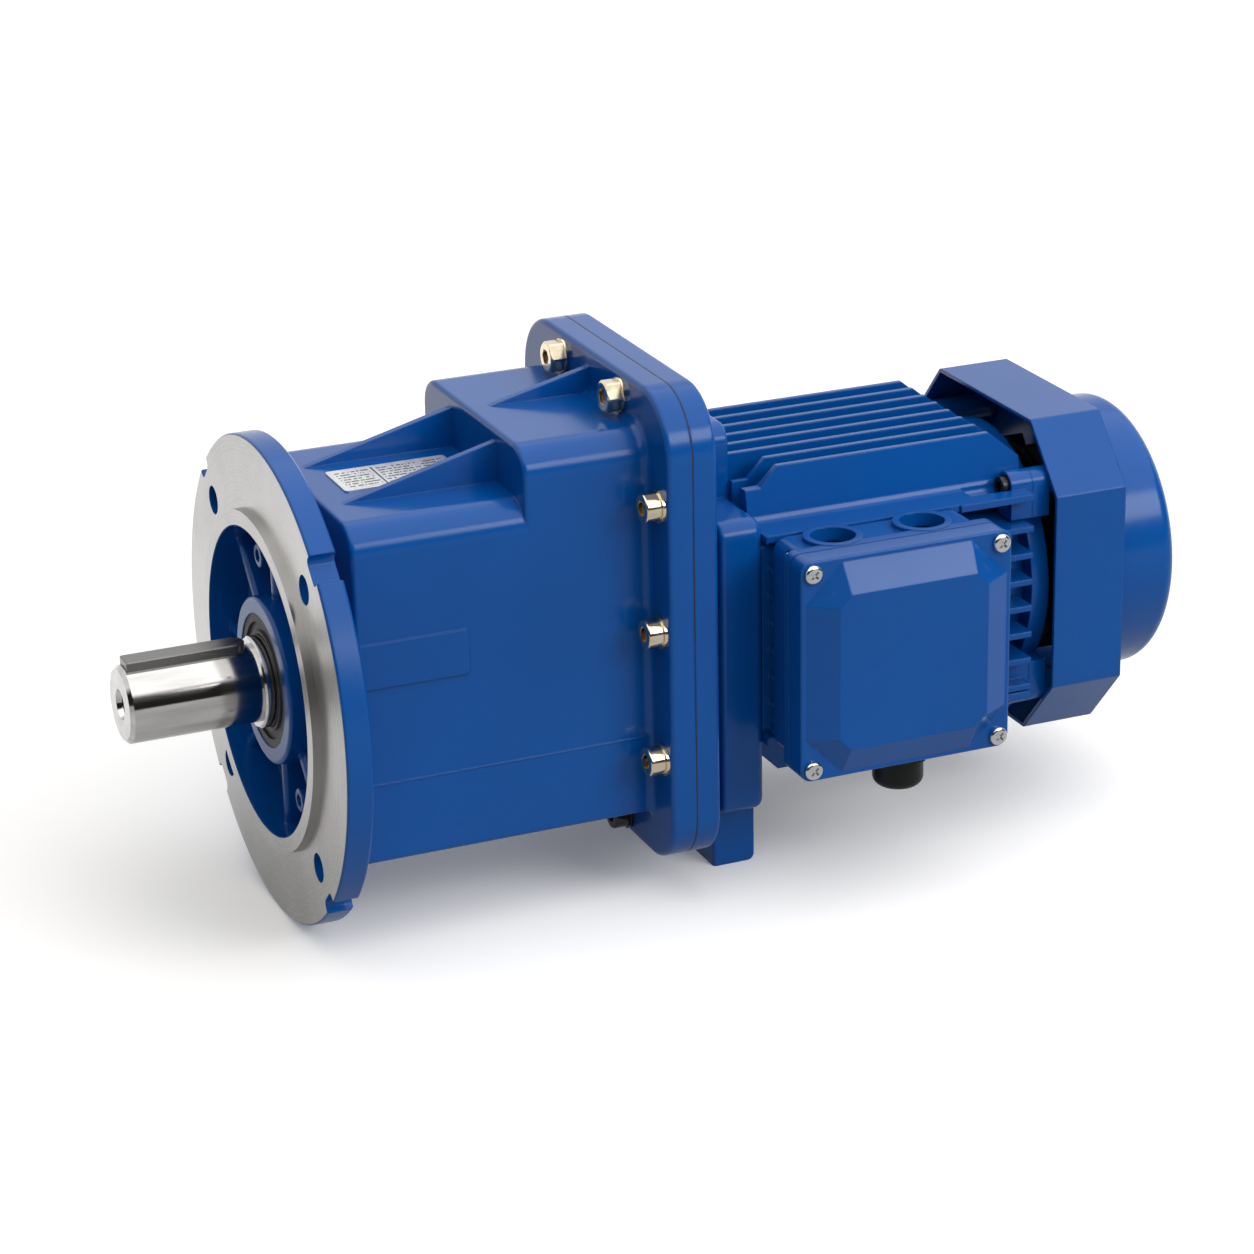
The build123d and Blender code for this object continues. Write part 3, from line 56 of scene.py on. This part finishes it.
class Nodes:
    """Short calls for the nodes of one tree."""

    def __init__(self, tree):
        self.tree = tree

    def set(self, node, values):
        """Set or link a node's inputs by name; underscores stand for spaces."""
        for name, value in values.items():
            socket = node.inputs[name if isinstance(name, int) else name.replace("_", " ")]
            if isinstance(value, bpy.types.NodeSocket):
                self.tree.links.new(value, socket)
            else:
                socket.default_value = value

    def add(self, kind, inputs=None, **properties):
        node = self.tree.nodes.new("ShaderNode" + kind)
        for name, value in properties.items():
            setattr(node, name, value)
        self.set(node, inputs or {})
        return node

    def noise(self, vector, scale=1.0, detail=2.0, roughness=0.5):
        node = self.add("TexNoise", {"Vector": vector, "Scale": scale, "Detail": detail,
                                     "Roughness": roughness})
        return node.outputs["Fac"]

    def math(self, operation, first, second=0.0, clamp=False):
        node = self.add("Math", {0: first, 1: second}, operation=operation, use_clamp=clamp)
        return node.outputs[0]

    def span(self, value, low, high, to_low, to_high):
        """Map a value from one range to another, without leaving the second range."""
        node = self.add("MapRange", {"Value": value, "From_Min": low, "From_Max": high,
                                     "To_Min": to_low, "To_Max": to_high})
        return node.outputs[0]

    def vary(self, noise, low, high):
        """Let a noise take a value from low to high, with most of the noise in use."""
        return self.span(noise, NOISE_LOW, NOISE_HIGH, low, high)

    def mix(self, factor, first, second):
        """Mix two colours."""
        node = self.add("Mix", data_type="RGBA")
        self.tree.links.new(factor, node.inputs["Factor"])
        for number, value in zip(MIX_COLOURS, (first, second)):
            is_link = isinstance(value, bpy.types.NodeSocket)
            self.set(node, {number: value if is_link else (*value, 1.0)})
        return node.outputs[2]

    def blend_value(self, factor, first, second):
        """Mix two numbers."""
        node = self.add("Mix", data_type="FLOAT")
        self.set(node, {0: factor, **dict(zip(MIX_NUMBERS, (first, second)))})
        return node.outputs[0]

    def mix_vector(self, factor, first, second):
        """Mix two vectors."""
        node = self.add("Mix", data_type="VECTOR")
        self.set(node, {0: factor, **dict(zip(MIX_VECTORS, (first, second)))})
        return node.outputs[1]


class Graph(Nodes):
    """Node tree of one material; positions are metres in the row frame."""

    def __init__(self, name, **shader_values):
        self.material = bpy.data.materials.new(name)
        self.material.use_nodes = True
        super().__init__(self.material.node_tree)
        self.shader = self.tree.nodes["Principled BSDF"]
        self.set(self.shader, shader_values)

    def position(self):
        """Place on the object."""
        return self.add("TexCoord").outputs["Object"]

    def stretched(self, scales):
        """Position multiplied by a scale for each axis."""
        node = self.add("VectorMath", {0: self.position(), 1: scales}, operation="MULTIPLY")
        return node.outputs[0]

    def axis(self, name):
        """One coordinate of the position."""
        return self.add("SeparateXYZ", {0: self.position()}).outputs[name]

    def radius(self, centre_z=0.0):
        """Distance from an axis along X."""
        parts = self.add("SeparateXYZ", {0: self.position()})
        rise = self.math("SUBTRACT", parts.outputs["Z"], centre_z)
        pair = self.add("CombineXYZ", {"Y": parts.outputs["Y"], "Z": rise})
        return self.add("VectorMath", {0: pair.outputs[0]}, operation="LENGTH").outputs["Value"]

    def bump(self, height, distance, below=None):
        """Bump of a height in metres, on top of another normal."""
        node = self.add("Bump", {"Height": height, "Distance": distance, "Strength": 1.0})
        if below is not None:
            self.tree.links.new(below, node.inputs["Normal"])
        return node.outputs["Normal"]

    def soft_edges(self, radius):
        """Normal that is rounded over sharp edges."""
        return self.add("Bevel", {"Radius": radius}, samples=4).outputs["Normal"]

    def finish(self, **values):
        self.set(self.shader, values)
        return self.material


# ---------------------------------------------------------------- materials
PAINT_BLUE = (0.0010, 0.075, 0.315)
PAINT_DEEP = (0.0009, 0.066, 0.280)
PAINT_GLOSS = 0.28
STEEL = (0.62, 0.605, 0.59)
MACHINED = (0.50, 0.49, 0.48)
MACHINED_STAIN = (0.44, 0.43, 0.42)
BRIGHT_BEARING = (0.62, 0.62, 0.63)
# painted shade: black for the screws that sit in shadow under the case
SCREW_SHADOW_BLACK = (0.05, 0.05, 0.052)

# The flange's turned face: a ring at the front, from the recess to just inside the rim
BARE_FROM = 63.7 * MM
BARE_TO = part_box("output_flange")[1].z - 0.6 * MM
BARE_DEPTH = 0.15 * MM

# Screws below this height are painted black as painted shade, for the shadow under the case; the
# others yellow
SHADED_SCREWS_BELOW = -60 * MM


def shade(colour, factor):
    """The same colour, darker or lighter."""
    return tuple(factor * part for part in colour)


def paint_layers(graph, grain=0.003 * MM, waviness=0.012 * MM):
    """Colour, roughness and normal of enamel over a casting."""
    place = graph.position()
    orange_peel = graph.noise(place, 900, 1)
    casting = graph.noise(place, 45, 1)
    patches = graph.noise(place, 14, 2)
    colour = graph.mix(graph.vary(patches, 0, 1), PAINT_BLUE, PAINT_DEEP)
    roughness = graph.vary(patches, 0.16, 0.23)
    normal = graph.bump(orange_peel, grain, graph.soft_edges(1.0 * MM))
    normal = graph.bump(casting, waviness, normal)
    return colour, roughness, normal


def enamel():
    """Glossy blue enamel on the cast parts."""
    graph = Graph("blue_enamel", Specular_IOR_Level=PAINT_GLOSS)
    colour, roughness, normal = paint_layers(graph)
    return graph.finish(Base_Color=colour, Roughness=roughness, Normal=normal)


def sheet_enamel():
    """The same enamel on pressed sheet, with a coarser orange peel."""
    graph = Graph("blue_sheet_enamel", Specular_IOR_Level=PAINT_GLOSS)
    colour, roughness, normal = paint_layers(graph, grain=0.006 * MM, waviness=0.03 * MM)
    return graph.finish(Base_Color=colour, Roughness=roughness, Normal=normal)


def flange_material():
    """Enamel with a turned, bare face and spigot."""
    graph = Graph("flange_paint_and_turned_face", Anisotropic=0.85, Specular_IOR_Level=PAINT_GLOSS)
    colour, roughness, normal = paint_layers(graph)
    radius = graph.radius()
    in_front = graph.math("LESS_THAN", graph.axis("X"), BARE_DEPTH)
    outside = graph.math("GREATER_THAN", radius, BARE_FROM)
    inside = graph.math("LESS_THAN", radius, BARE_TO)
    bare = graph.math("MULTIPLY", graph.math("MULTIPLY", in_front, outside), inside)
    rings = graph.noise(graph.add("CombineXYZ", {"X": radius}).outputs[0], 1500, 4, 0.7)
    stains = graph.noise(graph.position(), 35, 3)
    turned = graph.mix(graph.vary(stains, 0, 1), MACHINED, MACHINED_STAIN)
    colour = graph.mix(bare, colour, turned)
    roughness = graph.blend_value(bare, roughness, graph.vary(rings, 0.22, 0.34))
    turned_normal = graph.bump(rings, 0.002 * MM)
    normal = graph.mix_vector(bare, normal, turned_normal)
    tangent = graph.add("Tangent", direction_type="RADIAL", axis="X").outputs[0]
    return graph.finish(Base_Color=colour, Roughness=roughness, Metallic=bare, Normal=normal,
                        Tangent=tangent)


def turned_steel(name, colour, low_rough, high_rough, centre_z=0.0):
    """Ground shaft: fine rings round the axis on the side and on the end face."""
    graph = Graph(name, Metallic=1.0)
    along = graph.axis("X")
    radius = graph.radius(centre_z)
    pair = graph.add("CombineXYZ", {"X": along, "Y": radius}).outputs[0]
    rings = graph.noise(pair, 2200, 3, 0.6)
    smears = graph.noise(graph.stretched((30, 220, 220)), 1, 3)
    tint = graph.mix(graph.span(smears, 0.35, 0.65, 0, 1), colour, shade(colour, 0.82))
    roughness = graph.vary(smears, low_rough, high_rough)
    normal = graph.bump(rings, 0.0015 * MM, graph.soft_edges(0.3 * MM))
    return graph.finish(Base_Color=tint, Roughness=roughness, Normal=normal)


def drawn_steel(name, colour, low_rough=0.25, high_rough=0.42):
    """Bright or dark steel with fine lines along X."""
    graph = Graph(name, Metallic=1.0)
    lines = graph.noise(graph.stretched((60, 2600, 2600)), 1, 3, 0.6)
    tint = graph.mix(graph.vary(lines, 0, 1), colour, shade(colour, 0.78))
    roughness = graph.vary(lines, low_rough, high_rough)
    normal = graph.bump(lines, 0.002 * MM, graph.soft_edges(0.3 * MM))
    return graph.finish(Base_Color=tint, Roughness=roughness, Normal=normal)


def yellow_zinc():
    """Yellow passivated zinc: gold with faint green and rosy patches; the screws underneath are
    painted black as painted shade.
    """
    graph = Graph("yellow_zinc", Metallic=1.0)
    clouds = graph.noise(graph.position(), 160, 3)
    drift = graph.noise(graph.position(), 70, 2)
    gold = graph.mix(graph.span(clouds, 0.35, 0.65, 0, 1), (0.76, 0.64, 0.44), (0.80, 0.70, 0.53))
    gold = graph.mix(graph.span(drift, 0.5, 0.75, 0, 0.6), gold, (0.78, 0.62, 0.50))
    # painted shade: screws low under the case are coloured black instead of gold
    painted_shade_below = graph.math("LESS_THAN", graph.axis("Z"), SHADED_SCREWS_BELOW)
    colour = graph.mix(painted_shade_below, gold, SCREW_SHADOW_BLACK)
    roughness = graph.vary(clouds, 0.10, 0.2)
    normal = graph.bump(graph.noise(graph.position(), 1800, 2), 0.002 * MM,
                        graph.soft_edges(0.35 * MM))
    return graph.finish(Base_Color=colour, Roughness=roughness, Normal=normal)


def rubber(name, colour=(0.03, 0.03, 0.032)):
    """Moulded rubber: dull, with a fine grain and pale dust."""
    graph = Graph(name, Specular_IOR_Level=0.4)
    grain = graph.noise(graph.position(), 1500, 3)
    dust = graph.noise(graph.position(), 90, 3)
    tint = graph.mix(graph.span(dust, 0.45, 0.75, 0, 0.5), colour, shade(colour, 2.2))
    roughness = graph.vary(grain, 0.5, 0.7)
    return graph.finish(Base_Color=tint, Roughness=roughness,
                        Normal=graph.bump(grain, 0.008 * MM))


def moulded(name, colour, low_rough=0.3, high_rough=0.45):
    """Moulded plastic with a fine spark-eroded texture."""
    graph = Graph(name, Specular_IOR_Level=0.22)
    grain = graph.noise(graph.position(), 1300, 2)
    cloud = graph.noise(graph.position(), 60, 2)
    tint = graph.mix(graph.vary(cloud, 0, 1), colour, shade(colour, 1.35))
    roughness = graph.vary(grain, low_rough, high_rough)
    return graph.finish(Base_Color=tint, Roughness=roughness,
                        Normal=graph.bump(grain, 0.006 * MM, graph.soft_edges(0.4 * MM)))


def winding():
    """Varnished copper wire, wound round the motor's axis."""
    graph = Graph("wound_copper", Metallic=0.6)
    pair = graph.add("CombineXYZ", {"X": graph.axis("X"), "Y": graph.radius(MOTOR_Z)}).outputs[0]
    strands = graph.noise(pair, 900, 2)
    colour = graph.mix(graph.span(strands, 0.35, 0.65, 0, 1), (0.36, 0.13, 0.04), (0.62, 0.27, 0.1))
    roughness = graph.vary(strands, 0.25, 0.45)
    return graph.finish(Base_Color=colour, Roughness=roughness,
                        Normal=graph.bump(strands, 0.15 * MM))


def laminations():
    """Stack of thin electrical sheets."""
    sheet_thickness = 0.5 * MM
    graph = Graph("laminated_steel", Metallic=0.9)
    phase = graph.math("MULTIPLY", graph.axis("X"), 2 * math.pi / sheet_thickness)
    sheets = graph.math("SINE", phase)
    rust = graph.noise(graph.position(), 50, 3)
    colour = graph.mix(graph.span(rust, 0.4, 0.7, 0, 1), (0.13, 0.13, 0.14), (0.2, 0.18, 0.16))
    roughness = graph.vary(rust, 0.4, 0.55)
    return graph.finish(Base_Color=colour, Roughness=roughness,
                        Normal=graph.bump(sheets, 0.03 * MM))


def nameplate():
    """Brushed plate with a dividing bar and rows of short marks that spell nothing."""
    rows_of_marks = 9
    low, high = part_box("nameplate")
    graph = Graph("nameplate_print", Metallic=0.75)
    parts = graph.add("SeparateXYZ", {0: graph.position()})
    across = graph.span(parts.outputs["X"], low.x, high.x, 0, 1)
    down = graph.span(parts.outputs["Y"], high.y, low.y, 0, 1)

    def between(value, start, end):
        above = graph.math("GREATER_THAN", value, start)
        return graph.math("MULTIPLY", above, graph.math("LESS_THAN", value, end))

    row_place = graph.math("MULTIPLY", down, rows_of_marks)
    row_band = between(graph.math("FRACT", row_place), 0.3, 0.7)
    row_index = graph.math("FLOOR", row_place)
    cells = graph.add("CombineXYZ", {
        "X": graph.math("MULTIPLY", across, 46), "Y": graph.math("MULTIPLY", row_index, 7.3)})
    marks = graph.math("GREATER_THAN", graph.noise(cells.outputs[0], 1.0, 1), 0.47)
    field = graph.math("MULTIPLY", between(across, 0.05, 0.95), between(down, 0.1, 0.93))
    gutter = graph.math("ADD", between(across, 0.0, 0.34), between(across, 0.4, 1.0))
    print_mask = graph.math("MULTIPLY", graph.math("MULTIPLY", row_band, marks), field)
    print_mask = graph.math("MULTIPLY", print_mask, gutter)
    bar_mask = graph.math("MULTIPLY", between(across, 0.36, 0.375), between(down, 0.08, 0.95))
    ink = graph.math("MAXIMUM", print_mask, bar_mask)
    brush = graph.noise(graph.stretched((2400, 90, 400)), 1, 3)
    silver = graph.mix(graph.vary(brush, 0, 1), (0.66, 0.66, 0.66), (0.8, 0.8, 0.8))
    colour = graph.mix(ink, silver, (0.05, 0.05, 0.055))
    roughness = graph.vary(brush, 0.32, 0.45)
    return graph.finish(Base_Color=colour, Roughness=roughness,
                        Normal=graph.bump(brush, 0.002 * MM))


def floor_material():
    """Matt white studio floor that returns less light to the object than it shows; in reflections
    it is darker towards the front, and it glows faintly all over, painted light that lightens its
    shadows.
    """
    graph = Graph("studio_floor", Specular_IOR_Level=0.0)
    grain = graph.noise(graph.position(), 40, 2)
    seen = graph.mix(grain, (0.95, 0.94, 0.925), (0.97, 0.96, 0.945))
    rays = graph.add("LightPath").outputs
    mirrored_level = graph.span(graph.axis("Y"), -0.2, 0.3, 0.34, 1.0)
    mirrored = graph.add("CombineXYZ", {
        "X": mirrored_level, "Y": mirrored_level, "Z": mirrored_level}).outputs[0]
    colour = graph.mix(rays["Is Glossy Ray"], seen, mirrored)
    colour = graph.mix(rays["Is Diffuse Ray"], colour, (0.30, 0.30, 0.30))
    # painted light: a faint glow all over the floor lightens the object's shadow on it
    return graph.finish(Base_Color=colour, Roughness=graph.vary(grain, 0.8, 0.9),
                        Emission_Color=(1.0, 1.0, 1.0, 1.0), Emission_Strength=0.13)


# ---------------------------------------------------------------- which material goes where
finishes = {
    enamel(): ["gear_case", "rear_cover", "motor_frame", "rear_end_shield", "terminal_box",
               "terminal_lid", "flange_screws"],
    sheet_enamel(): ["fan_cowl"],
    flange_material(): ["output_flange"],
    turned_steel("ground_output_shaft", STEEL, 0.08, 0.13): ["output_shaft"],
    turned_steel("ground_layshaft", (0.42, 0.42, 0.43), 0.3, 0.42, LAYSHAFT_Z): ["layshaft_pinion"],
    turned_steel("ground_motor_shaft", STEEL, 0.22, 0.34, MOTOR_Z): ["motor_shaft"],
    drawn_steel("drawn_key_steel", (0.22, 0.215, 0.21), 0.22, 0.34): [
        "output_key", "output_gear_key", "layshaft_key"],
    drawn_steel("gear_steel", (0.38, 0.38, 0.4)): [
        "output_gear", "layshaft_gear", "input_pinion", "output_gear_spacer", "layshaft_spacer"],
    turned_steel("bearing_steel", BRIGHT_BEARING, 0.12, 0.22): [
        "front_output_bearing", "rear_output_bearing", "output_inner_rings"],
    turned_steel("layshaft_bearing_steel", BRIGHT_BEARING, 0.12, 0.22, LAYSHAFT_Z): [
        "front_layshaft_bearing", "rear_layshaft_bearing", "layshaft_inner_rings"],
    turned_steel("motor_bearing_steel", BRIGHT_BEARING, 0.12, 0.22, MOTOR_Z): [
        "front_motor_bearing", "rear_motor_bearing", "motor_inner_rings"],
    drawn_steel("spring_steel", (0.14, 0.14, 0.15), 0.3, 0.45): [
        "output_gear_circlip", "fan_circlip", "wave_spring"],
    drawn_steel("black_steel", (0.05, 0.05, 0.055), 0.3, 0.45): [
        "motor_screws", "shield_screws", "cowl_screws", "box_screws",
        "oil_plugs", "joint_dowels"],
    drawn_steel("stainless", (0.74, 0.74, 0.75), 0.12, 0.24): ["lid_screws"],
    drawn_steel("copper", (0.7, 0.36, 0.2), 0.25, 0.4): ["oil_plug_washers"],
    drawn_steel("terminal_brass", (0.72, 0.5, 0.2), 0.18, 0.3): ["terminal_studs"],
    drawn_steel("cage_aluminium", (0.66, 0.67, 0.68), 0.35, 0.5): ["rotor_end_rings"],
    yellow_zinc(): ["top_joint_screws", "side_joint_screws", "joint_washers"],
    rubber("seal_rubber", (0.035, 0.035, 0.036)): [
        "output_seal", "input_seal", "gland_seal", "lid_gasket", "box_gasket"],
    rubber("joint_gasket", (0.012, 0.012, 0.014)): ["case_gasket"],
    moulded("black_polyamide", (0.005, 0.0055, 0.006)): ["gland_body", "gland_nut", "cooling_fan"],
    moulded("brown_moulding", (0.06, 0.035, 0.02)): ["terminal_board"],
    winding(): ["stator_windings"],
    laminations(): ["stator_core", "rotor_core"],
    nameplate(): ["nameplate"],
}
for material, nodes in finishes.items():
    for node in nodes:
        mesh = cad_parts[node].data
        mesh.materials.clear()
        mesh.materials.append(material)


# ---------------------------------------------------------------- stage
FLOOR_REACH = 40.0


def stage_floor():
    """Wide floor under the object."""
    mesh = bpy.data.meshes.new("floor")
    corners = [(x * FLOOR_REACH, y * FLOOR_REACH, FLOOR_Z)
               for x, y in ((-1, -1), (1, -1), (1, 1), (-1, 1))]
    mesh.from_pydata(corners, [], [(0, 1, 2, 3)])
    mesh.materials.append(floor_material())
    floor = bpy.data.objects.new("floor", mesh)
    bpy.context.scene.collection.objects.link(floor)


def softbox(name, place, target, width, height, power):
    """Rectangular area light that faces a point."""
    light = bpy.data.lights.new(name, "AREA")
    light.shape = "RECTANGLE"
    light.size, light.size_y = width, height
    light.energy = power
    lamp = bpy.data.objects.new(name, light)
    lamp.location = place
    lamp.rotation_euler = (Vector(target) - Vector(place)).to_track_quat("-Z", "Y").to_euler()
    bpy.context.scene.collection.objects.link(lamp)


def studio_world():
    """Light from above, less of it from the left; reflections see a backdrop and a dark front."""
    world = bpy.data.worlds.new("studio")
    bpy.context.scene.world = world
    world.use_nodes = True
    graph = Nodes(world.node_tree)
    direction = graph.add("TexCoord").outputs["Generated"]
    parts = graph.add("SeparateXYZ", {0: direction}).outputs
    from_above = graph.span(parts["Z"], 0.05, 0.7, 0.15, 1.9)
    from_left = graph.span(parts["X"], -0.85, 0.1, 0.3, 1.0)
    from_behind = graph.span(parts["Y"], -0.1, 0.7, 1.0, 0.35)
    soft = graph.math("MULTIPLY", graph.math("MULTIPLY", from_above, from_left), from_behind)
    backdrop = graph.span(parts["Y"], -0.05, 0.12, 0.0, 1.0)
    ceiling = graph.span(parts["Z"], 0.55, 0.68, 0.0, 1.8)
    mirrored = graph.math("MAXIMUM", graph.math("MAXIMUM", backdrop, ceiling), 0.015)
    rays = graph.add("LightPath").outputs
    level = graph.blend_value(rays["Is Glossy Ray"], soft, mirrored)
    level = graph.blend_value(rays["Is Camera Ray"], level, 1.0)
    background = world.node_tree.nodes["Background"]
    graph.set(background, {"Strength": level})
    background.inputs["Color"].default_value = (1.0, 1.0, 1.0, 1.0)


stage_floor()
studio_world()
softbox("front_softbox", place=(1.05, -1.5, 0.93), target=(0.2, -0.05, 0.0),
        width=1.1, height=0.6, power=13)

# ---------------------------------------------------------------- camera
CAMERA_PLACE = Vector((-0.3958, -1.3225, 0.5506))
CAMERA_RIGHT = Vector((0.91948, -0.39272, -0.01850))
CAMERA_UP = Vector((0.15754, 0.32492, 0.93253))
CAMERA_LENS = 105.8
SENSOR_WIDTH = 36.0

camera_data = bpy.data.cameras.new("camera")
camera_data.lens = CAMERA_LENS
camera_data.sensor_width = SENSOR_WIDTH
camera = bpy.data.objects.new("camera", camera_data)
back = CAMERA_RIGHT.cross(CAMERA_UP)
turn = Matrix((CAMERA_RIGHT, CAMERA_UP, back)).transposed().to_4x4()
camera.matrix_world = Matrix.Translation(CAMERA_PLACE) @ turn
bpy.context.scene.collection.objects.link(camera)
bpy.context.scene.camera = camera
bpy.context.scene.view_settings.view_transform = "Standard"
